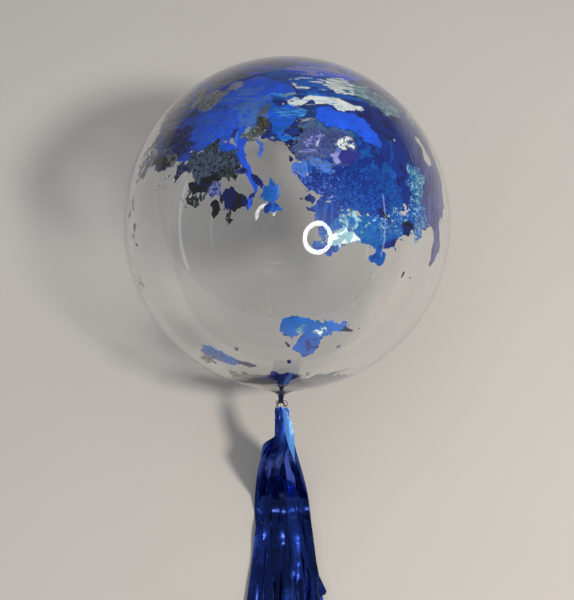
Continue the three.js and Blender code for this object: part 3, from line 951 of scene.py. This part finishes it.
class BALLOON_OT_paint(bpy.types.Operator):
    """Make the paint: pours, splashes and drops on the inside of the film"""

    bl_idname = "balloon.paint"
    bl_label = "Paint"

    def execute(self, context):
        scene = context.scene
        settings = scene.balloon.paint
        palette = {name: tuple(getattr(settings, name)) for name in settings.__annotations__}
        form = form_of(scene)
        level = 8
        directions, triangles, cover, looks = paint_sheets(form, level, palette)
        material = paint_material()
        middle = unit(directions[triangles].mean(axis=1))
        north = np.degrees(np.arcsin(middle[:, 1]))
        for name, (low, high, side) in PAINT_PIECES.items():
            chosen = (north >= low) & (north < high) & (side * middle[:, 0] >= 0)
            points, faces, origin = paint_solid(form, directions, triangles[chosen], cover)
            piece = add_piece(name, points, faces, material, sharp=math.radians(60))
            whole = np.ones(len(origin))
            for look in ("under", "over"):
                full = np.column_stack([looks[look][origin], whole])
                add_attribute(piece, look, "FLOAT_COLOR", full)
            run = looks["run"][origin]
            runs = np.column_stack([run == ALONG, run == DOWN, run == FINE, whole])
            add_attribute(piece, "runs", "FLOAT_COLOR", runs)
            add_attribute(piece, "share", "FLOAT", looks["share"][origin])
            add_attribute(piece, "skin", "FLOAT_VECTOR", directions[origin] * form.equator)
        return {"FINISHED"}


# ---- The ribbon -------------------------------------------------------------------------

# Places in the tie are [right, up] in millimetres from the middle of the wrap.
WRAP_DROP = 18.75 * MM  # from the pole to the middle of the wrap
WRAP_TURNS = 3
WRAP_PITCH = 1.7 * MM
WRAP_RADIUS = 3.2 * MM
LINK_DROP = 24.6 * MM  # from the pole to the middle of the link
LINK_REACH = (5 * MM, 6 * MM)
LINK_OPENING = 38  # degrees each side of straight up, where the link leaves the wrap
LEFT_LOOP = [(-2, 0.8), (-6.4, 1.4), (-8.6, -0.9), (-7.8, -4), (-5.2, -3.8), (-2, -0.8)]
RIGHT_LOOP = [(2, 0.8), (7.4, 0.6), (10.8, -3), (10.2, -6.4), (7.2, -5.4), (2, -0.8)]
LEFT_END = [(-2, -0.4), (-6.8, -7.5), (-9.6, -15), (-9, -24)]
RIGHT_END = [(2, 0), (7.4, -8), (13, -16), (13.6, -26)]


def ribbon_material(settings):
    """Polypropylene curling ribbon, drawn and embossed: a dark satin sheen.

    Its ribs are too fine to show one by one, so a fine grain stands for them.
    """
    material, tree, output = new_material("Polypropylene ribbon, drawn satin")
    place = add_node(tree, "ShaderNodeNewGeometry")
    grain = add_node(
        tree, "ShaderNodeTexNoise", Vector=place.outputs["Position"], Scale=900.0, Detail=2.0
    )
    raised = add_node(
        tree, "ShaderNodeBump", Strength=0.35, Distance=0.0002, Height=grain.outputs["Fac"]
    )
    satin = add_node(
        tree,
        "ShaderNodeBsdfPrincipled",
        Base_Color=(*settings.shade, 1),
        Roughness=0.34,
        IOR=1.49,
        Normal=raised.outputs[0],
    )
    tree.links.new(satin.outputs[0], output.inputs["Surface"])
    return material


def band(path, width, thickness):
    """A flat band along a path in the bubble's X-Y plane, with its width along Z."""
    across = np.linspace(0.5, -0.5, 4)[None, :, None] * np.array([0, 0, width])
    return sheet_solid(path[:, None] + across, thickness)


class BALLOON_OT_ribbon(bpy.types.Operator):
    """Make the ribbon: the wrap, the link to the tassel, two small loops and two curling ends"""

    bl_idname = "balloon.ribbon"
    bl_label = "Ribbon tie"

    def execute(self, context):
        settings = context.scene.balloon.ribbon
        form = form_of(context.scene)
        width, thickness = settings.width, settings.thickness

        turn = np.linspace(0, 2 * np.pi * WRAP_TURNS, 30 * WRAP_TURNS)
        drop = WRAP_DROP + WRAP_PITCH * (turn / (2 * np.pi) - WRAP_TURNS / 2)
        coil = np.stack([WRAP_RADIUS * np.sin(turn), -form.pole - drop, WRAP_RADIUS * np.cos(turn)], -1)
        bodies = [tube_solid(coil, 0.52 * WRAP_PITCH, 10, side=(0, 1, 0))]

        turn = np.radians(np.linspace(LINK_OPENING, 360 - LINK_OPENING, 40))
        wide, high = LINK_REACH
        oval = [wide * np.sin(turn), -form.pole - LINK_DROP + high * np.cos(turn), 0 * turn]
        bodies.append(band(np.stack(oval, -1), width, 1.5 * thickness))

        middle = -form.pole - WRAP_DROP
        for seed, curve in enumerate([LEFT_LOOP, RIGHT_LOOP, LEFT_END, RIGHT_END]):
            flat = spline(curve, 12) * MM
            share = np.linspace(0, 1, len(flat))
            lift = (3.0 + 2.2 * seed) * MM * np.sin(np.pi * np.minimum(share, 0.8))
            path = np.stack([flat[:, 0], middle + flat[:, 1], lift], -1)
            bodies.append(band(path, width, thickness))

        points, faces = joined(bodies)
        material = ribbon_material(settings)
        add_piece(
            "ribbon_bands",
            form.world(points),
            faces,
            material,
            sharp=math.radians(50),
            replaces=["ribbon_tie"],
        )
        return {"FINISHED"}


# ---- The tassel -------------------------------------------------------------------------

EYE_TOP = 27.25 * MM  # below the pole, as are the next two
HEAD_TOP = 35 * MM
HEAD_END = 48 * MM
EYE_WIDTH = 4.4 * MM
EYE_TUBE = 1.8 * MM
HEAD_RADIUS = (4.2 * MM, 6.6 * MM)
TOUCHDOWN = 130 * MM  # from the head's end along the floor to where the strips reach it
PILE = 11 * MM  # thickness of the strips that lie on the floor
TRIM = 46 * MM  # how much shorter than the longest a strip may be
GOLDEN = 0.618  # staggers each layer's strips over the gaps of the last
FLICK = 34 * MM  # how far the end of one short strip swings to the right
FLICK_TRIM = 1.6  # and how many times the trim it is shorter
# How a strip wavers along its length: how much, over what grain, and what its seed is moved by.
SIDEWAYS = (6 * MM, 90 * MM, 0)
LIFTED = (7 * MM, 48 * MM, 3)
TWISTED = (math.radians(62), 70 * MM, 9)
CURLED = (0.32, 110 * MM, 17)
CREASED = (1, 16 * MM, 23)
CREASE_DEPTH = 1.6  # in millimetres


def scatter(seed):
    """A share from 0 to 1 for each whole number."""
    return (math.sin(seed * 127.1 + 311.7) * 43758.5453) % 1


class Drape:
    """The path that the tassel takes: down from its head and along the floor."""

    def __init__(self, form, tail):
        start = form.world(np.array([[0, -form.pole - HEAD_END, 0]]))[0]
        end = np.array([start[0], start[1] - TOUCHDOWN, PILE / 2 + 0.4 * MM])
        first = start - 0.55 * TOUCHDOWN * form.axis
        second = end + np.array([0, 0.5 * TOUCHDOWN, 0])
        share = np.linspace(0, 1, 120)[:, None]
        rest = 1 - share
        fall = start * rest**3 + 3 * first * rest**2 * share
        fall = fall + 3 * second * rest * share**2 + end * share**3
        self.fall = np.linalg.norm(np.diff(fall, axis=0), axis=1).sum()
        above = start + 2 * HEAD_END * form.axis
        beyond = end - np.array([0, tail, 0])
        self.path = np.concatenate([[above], fall, [beyond]])
        reach = np.linalg.norm(np.diff(self.path, axis=0), axis=1).cumsum()
        self.reach = np.concatenate([[0], reach]) - 2 * HEAD_END

    def place(self, along):
        return np.stack([np.interp(along, self.reach, line) for line in self.path.T], -1)

    def way(self, along):
        return unit(self.place(along + 4 * MM) - self.place(along - 4 * MM))

    def lying(self, along):
        return smoothstep(0.5 * self.fall, self.fall, along)


def spread_left(along):
    """How far the tail reaches to the left of its middle. It bellies out below the head."""
    below = np.maximum(along - 38 * MM, 0)
    return 6 * MM + 17 * MM * smoothstep(38 * MM, 72 * MM, along) + 0.09 * below


def spread_right(along):
    """How far the tail reaches to the right of its middle."""
    return 10 * MM + 59 * MM * (np.maximum(along, 0) / (340 * MM)) ** 0.8


def waver(along, grain, seed):
    """Noise along one line."""
    place = np.stack([along / grain, np.full_like(along, 7.3 * seed), 0 * along + 0.5], -1)
    return noise(place, 40)


class Strip:
    """One strip of foil, from where it leaves the head to its cut end.

    Across is its place from 0 at the tail's left to 1 at its right, and height its place in the
    pile. Start and length are from the head's end. Its end narrows over the taper and swings
    out by the flick, gleam is how much pale blue painted reflection of the lamp lies over it,
    and abreast is how many strips share the tail's width.
    """

    def __init__(self, drape, across, height, seed, width, length, **others):
        self.drape, self.seed = drape, seed
        self.across, self.height = across, height
        self.width, self.length = width, length
        self.flick = others.get("flick", 0.0)
        self.start = others.get("start", -8 * MM)
        self.taper = others.get("taper", 1 * MM)
        self.gleam = others.get("gleam", 0.0)
        self.abreast = others.get("abreast", 4)
        self.roll = math.radians(36 * scatter(seed + 50) - 18)

    def wavering(self, along, amount, grain, offset):
        return amount * waver(along, grain, self.seed + offset)

    def line(self, along):
        """The strip's middle line."""
        drape = self.drape
        side = (self.across - 1) * spread_left(along) + self.across * spread_right(along)
        loose = smoothstep(20 * MM, 160 * MM, along)
        side = side + self.wavering(along, *SIDEWAYS) * loose
        end = self.length
        side = side + self.flick * smoothstep(end - 90 * MM, end + 40 * MM, along)
        lying = drape.lying(along)
        deep = (9 + 25 * smoothstep(0, 70 * MM, along)) * MM
        deep = deep + (PILE - deep) * lying
        lift = self.height * deep + self.wavering(along, *LIFTED) * loose
        way = drape.way(along)
        up = np.stack([0 * along, way[:, 2], -way[:, 1]], -1)
        return drape.place(along) + side[:, None] * (1, 0, 0) + lift[:, None] * up

    def body(self, thickness, stations=96, columns=7):
        along = np.linspace(self.start, self.length, stations)
        middle = self.line(along)
        way = unit(np.gradient(middle, axis=0))
        first = unit(np.array([1, 0, 0]) - way * way[:, :1])
        second = np.cross(first, way)
        lying = self.drape.lying(along)
        turn = self.roll * (1 - 0.6 * lying)
        turn = turn + self.wavering(along, *TWISTED) * (1 - 0.35 * lying)
        turn = turn[:, None]
        first, second = (
            np.cos(turn) * first + np.sin(turn) * second,
            np.cos(turn) * second - np.sin(turn) * first,
        )
        room = 0.92 * (spread_left(along) + spread_right(along)) / self.abreast
        half = np.minimum(self.width, room) / 2
        half = half * smoothstep(-1 * MM, self.taper, self.length - along)
        share = np.linspace(-1, 1, columns)
        curl = self.wavering(along, *CURLED)
        crease = np.abs(self.wavering(along, *CREASED)) * CREASE_DEPTH * MM
        bend = (curl * half)[:, None] * (share**2 - 0.4) + crease[:, None] * (1 - 0.5 * share**2)
        grid = middle[:, None] + (half[:, None] * share)[..., None] * first[:, None]
        grid = grid + bend[..., None] * second[:, None]
        lowest = thickness + 0.3 * MM
        over = grid[..., 2] - lowest
        grid[..., 2] = lowest + 0.5 * (over + np.sqrt(over**2 + (1.2 * MM) ** 2))
        return sheet_solid(grid[:, ::-1], thickness)


def foil_material(settings):
    """Metallised polyester film, lacquered blue and slit: a dark mirror with soft crinkles.

    The lacquer is a clear coat over the metal. Where a strip has a gleam, its colour gives way
    to a pale blue painted reflection of the lamp, and it is less metallic.
    """
    material, tree, output = new_material("Metallised polyester film, blue lacquer")
    place = add_node(tree, "ShaderNodeNewGeometry")
    vary = add_node(tree, "ShaderNodeAttribute", {"attribute_name": "vary"})
    gleam = add_node(tree, "ShaderNodeAttribute", {"attribute_name": "gleam"})
    crinkle = add_node(
        tree, "ShaderNodeTexNoise", Vector=place.outputs["Position"], Scale=160.0, Detail=3.0
    )
    bumped = add_node(
        tree, "ShaderNodeBump", Strength=0.3, Distance=0.0008, Height=crinkle.outputs["Fac"]
    )
    shade = add_node(
        tree,
        "ShaderNodeMix",
        {"data_type": "RGBA"},
        in0=vary.outputs["Fac"],
        in6=shaded(settings.shade, 0.7),
        in7=shaded(settings.shade, 2.6),
    )
    # Painted reflection: the gleam lays the pale blue over the strip's colour, and below it makes the
    # strip less metallic.
    bright = add_node(
        tree,
        "ShaderNodeMix",
        {"data_type": "RGBA"},
        in0=gleam.outputs["Fac"],
        in6=shade.outputs[2],
        in7=(*settings.back, 1),
    )
    rough = add_node(
        tree,
        "ShaderNodeMapRange",
        in0=crinkle.outputs["Fac"],
        in1=0.3,
        in2=0.7,
        in3=0.2,
        in4=0.36,
    )
    metal = add_node(tree, "ShaderNodeMapRange", in0=gleam.outputs["Fac"], in3=1.0, in4=0.25)
    foil = add_node(
        tree,
        "ShaderNodeBsdfPrincipled",
        Base_Color=bright.outputs[2],
        Metallic=metal.outputs[0],
        Roughness=rough.outputs[0],
        Coat_Weight=0.5,
        Coat_Roughness=0.08,
        Normal=bumped.outputs[0],
    )
    tree.links.new(foil.outputs[0], output.inputs["Surface"])
    return material


# The short strips that lie over the head: across, height, seed, width, length, start and taper,
# with the sizes in millimetres, and gleam, the share of painted reflection. The first is pale blue all
# over with it, a painted reflection of the lamp.
OVER_HEAD = [
    (1.0, 0.66, 4, 13.5, 72, -18, 48, 1.0),
    (0.42, 0.6, 9, 11, 90, -19, 40, 0.04),
    (0.15, 0.5, 12, 12, 120, -18, 30, 0.0),
]


def tassel_strips(drape, settings):
    """The layers of strips from the bottom up, and then the short ones over the head."""
    strips = []
    for layer, place in product(range(settings.layers), range(settings.strips)):
        seed = len(strips)
        across = (place + 0.12 + 0.76 * ((layer * GOLDEN) % 1)) / settings.strips
        height = layer / (settings.layers - 1) - 0.5
        swings = (layer, place) == (settings.layers - 2, settings.strips - 1)
        length = settings.tail - TRIM * (FLICK_TRIM if swings else scatter(seed))
        flick = FLICK if swings else 0
        strips.append(
            Strip(drape, across, height, seed, settings.strip_width, length, flick=flick)
        )
    for across, height, seed, width, length, start, taper, gleam in OVER_HEAD:
        others = {"start": start * MM, "taper": taper * MM, "gleam": gleam, "abreast": 1.3}
        strips.append(Strip(drape, across, height, seed, width * MM, length * MM, **others))
    return strips


def tassel_head(form, drape):
    """The twisted head and the eye that hangs on the link."""
    drop = np.linspace(HEAD_TOP - 2 * MM, HEAD_END + 2 * MM, 16)
    path = form.world(np.stack([0 * drop, -form.pole - drop, 0 * drop], -1))
    radius = np.linspace(*HEAD_RADIUS, len(path))
    head = tube_solid(path, radius, sides=24, lobes=4, lobe_share=0.14, twist=3.0)
    turn = np.linspace(-0.9 * np.pi, 0.9 * np.pi, 30)
    middle = (EYE_TOP + EYE_TUBE + HEAD_TOP) / 2
    high = HEAD_TOP - middle
    loop = [0 * turn, -form.pole - middle + high * np.cos(turn), EYE_WIDTH * np.sin(turn)]
    path = form.world(np.stack(loop, -1))
    eye = tube_solid(path, EYE_TUBE, sides=14, lobes=3, lobe_share=0.12, twist=8.0)
    return [head, eye]


class BALLOON_OT_tassel(bpy.types.Operator):
    """Make the tassel: layers of foil strips, the twisted head and its eye"""

    bl_idname = "balloon.tassel"
    bl_label = "Foil tassel"

    def execute(self, context):
        scene = context.scene
        settings = scene.balloon.tassel
        form = form_of(scene)
        drape = Drape(form, settings.tail)
        strips = tassel_strips(drape, settings)
        material = foil_material(settings)
        bodies = [strip.body(settings.foil) for strip in strips] + tassel_head(form, drape)
        vary = [scatter(k + 80) for k in range(len(bodies))]
        # The share of pale blue painted reflection on each body: only the strips over the head carry
        # it.
        gleam = [strip.gleam for strip in strips] + [0.0, 0.0]
        points, faces = joined(bodies)
        piece = add_piece(
            "foil_strips",
            points,
            faces,
            material,
            sharp=math.radians(40),
            replaces=["foil_tassel"],
        )
        counts = [len(body[0]) for body in bodies]
        for name, values in (("vary", vary), ("gleam", gleam)):
            add_attribute(piece, name, "FLOAT", np.repeat(values, counts))
        return {"FINISHED"}


# ---- The stage --------------------------------------------------------------------------

LENS = 58.6  # in millimetres, for a sensor 36 mm high
SENSOR = 36.0
RISE = 0.125  # the bubble's middle stands this share of the picture above its middle
# Each lamp's way is how far right and up it stands for each step towards the camera. Its
# distance is from the middle of the bubble.
RING_WAY = (0.34, -0.13)
RING_DISTANCE = 1.5
RING_RADII = (0.25, 0.18)  # outer and inner
RING_STRENGTH = 14
KEY_WAY = (0.55, 0.06)
KEY_DISTANCE = 3.0
KEY_SIZE = 0.45
KEY_POWER = 58
WINDOW_DISTANCE = 1.6
GLOSSY_SHARE = 0.32  # of the room's light that glossy things see
FLOOR_REACH = 9
SQUARE = np.array([(-1, -1, 0), (1, -1, 0), (1, 1, 0), (-1, 1, 0)])


def look_from(stage):
    """The way to the camera and the picture's up, as seen from the bubble."""
    rise = stage.elevation
    towards = np.array([0, -math.cos(rise), math.sin(rise)])
    up = np.array([0, math.sin(rise), math.cos(rise)])
    return towards, up


def emitter(name, points, faces, strength, tint):
    """A lamp that shows in glossy things only. It lights nothing and no camera sees it."""
    material, tree, output = new_material(name)
    glow = add_node(tree, "ShaderNodeEmission", Color=(*linear(tint), 1), Strength=strength)
    tree.links.new(glow.outputs[0], output.inputs["Surface"])
    mesh = bpy.data.meshes.new(name)
    mesh.from_pydata(points.tolist(), [], faces)
    mesh.materials.append(material)
    lamp = bpy.data.objects.new(name, mesh)
    lamp.visible_camera = False
    lamp.visible_diffuse = False
    lamp.visible_shadow = False
    bpy.context.scene.collection.objects.link(lamp)


def facing(place, target, up=(0, 0, 1)):
    """A 3 x 3 turn whose Z looks from the target back to the place."""
    back = unit(np.array(place, float) - target)
    right = unit(np.cross(up, back))
    return np.stack([right, np.cross(back, right), back], axis=1)


def ring_light(place, target, outer, inner, strength):
    """A flat ring that shows as a bright ring in glossy things."""
    turn = np.linspace(0, 2 * np.pi, 64, endpoint=False)
    circle = np.stack([np.cos(turn), np.sin(turn), np.zeros(64)], -1)
    points = np.concatenate([inner * circle, outer * circle])
    faces = grid_faces(2, 64, closed=True)[:, ::-1].tolist()
    emitter("ring_light", points @ facing(place, target).T + place, faces, strength, "#ffffff")


def strip_light(name, place, target, width, height, strength, up):
    """A tall window that shows as a line down the side of the bubble."""
    corners = SQUARE * (width / 2, height / 2, 1)
    points = corners @ facing(place, target, up).T + place
    emitter(name, points, [[3, 2, 1, 0]], strength, "#f4f8ff")


def soft_lamp(name, place, target, size, power, tint):
    """A round area lamp that lights matt things and shows in nothing."""
    light = bpy.data.lights.new(name, "AREA")
    light.shape = "DISK"
    light.size = size
    light.energy = power
    light.color = linear(tint)
    lamp = bpy.data.objects.new(name, light)
    lamp.matrix_world = Matrix.Translation(place) @ Matrix(facing(place, target).tolist()).to_4x4()
    lamp.visible_glossy = False
    lamp.visible_transmission = False
    lamp.visible_camera = False
    bpy.context.scene.collection.objects.link(lamp)


def floor_material(settings):
    """Emulsion paint, rolled on board: matt, with the faint mottle that a roller leaves."""
    material, tree, output = new_material("Emulsion paint, rolled matt")
    place = add_node(tree, "ShaderNodeNewGeometry")
    mottle = add_node(
        tree, "ShaderNodeTexNoise", Vector=place.outputs["Position"], Scale=1.6, Detail=3.0
    )
    shade = add_node(
        tree,
        "ShaderNodeMix",
        {"data_type": "RGBA"},
        in0=mottle.outputs["Fac"],
        in6=shaded(settings.floor, 0.94),
        in7=shaded(settings.floor, 1.04),
    )
    matt = add_node(
        tree, "ShaderNodeBsdfPrincipled", Base_Color=shade.outputs[2], Roughness=0.9
    )
    matt.inputs["Specular IOR Level"].default_value = 0.2
    tree.links.new(matt.outputs[0], output.inputs["Surface"])
    return material


class BALLOON_OT_stage(bpy.types.Operator):
    """Make the floor, the lights and the camera"""

    bl_idname = "balloon.stage"
    bl_label = "Floor, lights and camera"

    def execute(self, context):
        scene = context.scene
        settings = scene.balloon.stage
        centre = form_of(scene).centre
        towards, up = look_from(settings)
        right = np.array([1.0, 0, 0])

        mesh = bpy.data.meshes.new("floor")
        mesh.from_pydata((FLOOR_REACH * SQUARE).tolist(), [], [[0, 1, 2, 3]])
        mesh.materials.append(floor_material(settings))
        floor = bpy.data.objects.new("floor", mesh)
        scene.collection.objects.link(floor)

        world = bpy.data.worlds.new("room")
        world.use_nodes = True
        scene.world = world
        background = world.node_tree.nodes["Background"]
        background.inputs["Color"].default_value = (*settings.room, 1)
        # Glossy things see a room that is dimmer than its light, as they do beyond a softbox.
        path = add_node(world.node_tree, "ShaderNodeLightPath").outputs["Is Glossy Ray"]
        strength = add_node(
            world.node_tree,
            "ShaderNodeMapRange",
            in0=path,
            in3=settings.room_strength,
            in4=GLOSSY_SHARE * settings.room_strength,
        )
        world.node_tree.links.new(strength.outputs[0], background.inputs["Strength"])

        def lamp_place(way, distance):
            return centre + distance * unit(towards + way[0] * right + way[1] * up)

        ring_light(lamp_place(RING_WAY, RING_DISTANCE), centre, *RING_RADII, RING_STRENGTH)
        key_place = lamp_place(KEY_WAY, KEY_DISTANCE)
        soft_lamp("key", key_place, centre, KEY_SIZE, KEY_POWER, "#fff6ec")
        # The way to each window, its width, its height and its strength.
        windows = {
            "window_left": (0.35 * towards - right, 0.05, 1.3, 1.6),
            "window_right": (0.5 * towards + right, 0.04, 0.9, 2),
        }
        for name, (way, width, height, strength) in windows.items():
            place = centre + WINDOW_DISTANCE * unit(way)
            strip_light(name, place, centre, width, height, strength, up)

        camera = bpy.data.cameras.new("camera")
        camera.lens = LENS
        camera.sensor_width = SENSOR
        viewer = bpy.data.objects.new("camera", camera)
        high = settings.distance * SENSOR / LENS
        place = centre + settings.distance * towards
        aim = centre - RISE * high * up
        turn = Matrix(facing(place, aim, up).tolist()).to_4x4()
        viewer.matrix_world = Matrix.Translation(place) @ turn
        scene.collection.objects.link(viewer)
        scene.camera = viewer
        scene.view_settings.view_transform = "Standard"
        return {"FINISHED"}


# ---- Add-on -----------------------------------------------------------------------------


class VIEW3D_PT_balloon(bpy.types.Panel):
    """Lists the balloon's operators and settings"""

    bl_label = "Balloon"
    bl_space_type = "VIEW_3D"
    bl_region_type = "UI"
    bl_category = "Balloon"

    def draw(self, context):
        settings = context.scene.balloon
        for operator, group in OPERATORS:
            box = self.layout.box()
            box.operator(operator.bl_idname)
            values = getattr(settings, group)
            for name in values.__annotations__:
                box.prop(values, name)


OPERATORS = [
    (BALLOON_OT_stage, "stage"),
    (BALLOON_OT_film, "film"),
    (BALLOON_OT_paint, "paint"),
    (BALLOON_OT_ribbon, "ribbon"),
    (BALLOON_OT_tassel, "tassel"),
]

CLASSES = [
    FilmSettings,
    PaintSettings,
    RibbonSettings,
    TasselSettings,
    StageSettings,
    BalloonSettings,
    *(operator for operator, _ in OPERATORS),
    VIEW3D_PT_balloon,
]


def register():
    for cls in CLASSES:
        bpy.utils.register_class(cls)
    bpy.types.Scene.balloon = PointerProperty(type=BalloonSettings)


def unregister():
    del bpy.types.Scene.balloon
    for cls in reversed(CLASSES):
        bpy.utils.unregister_class(cls)


def main():
    register()
    bpy.ops.balloon.stage()
    bpy.ops.balloon.film()
    bpy.ops.balloon.paint()
    bpy.ops.balloon.ribbon()
    bpy.ops.balloon.tassel()


if __name__ == "__main__":
    main()
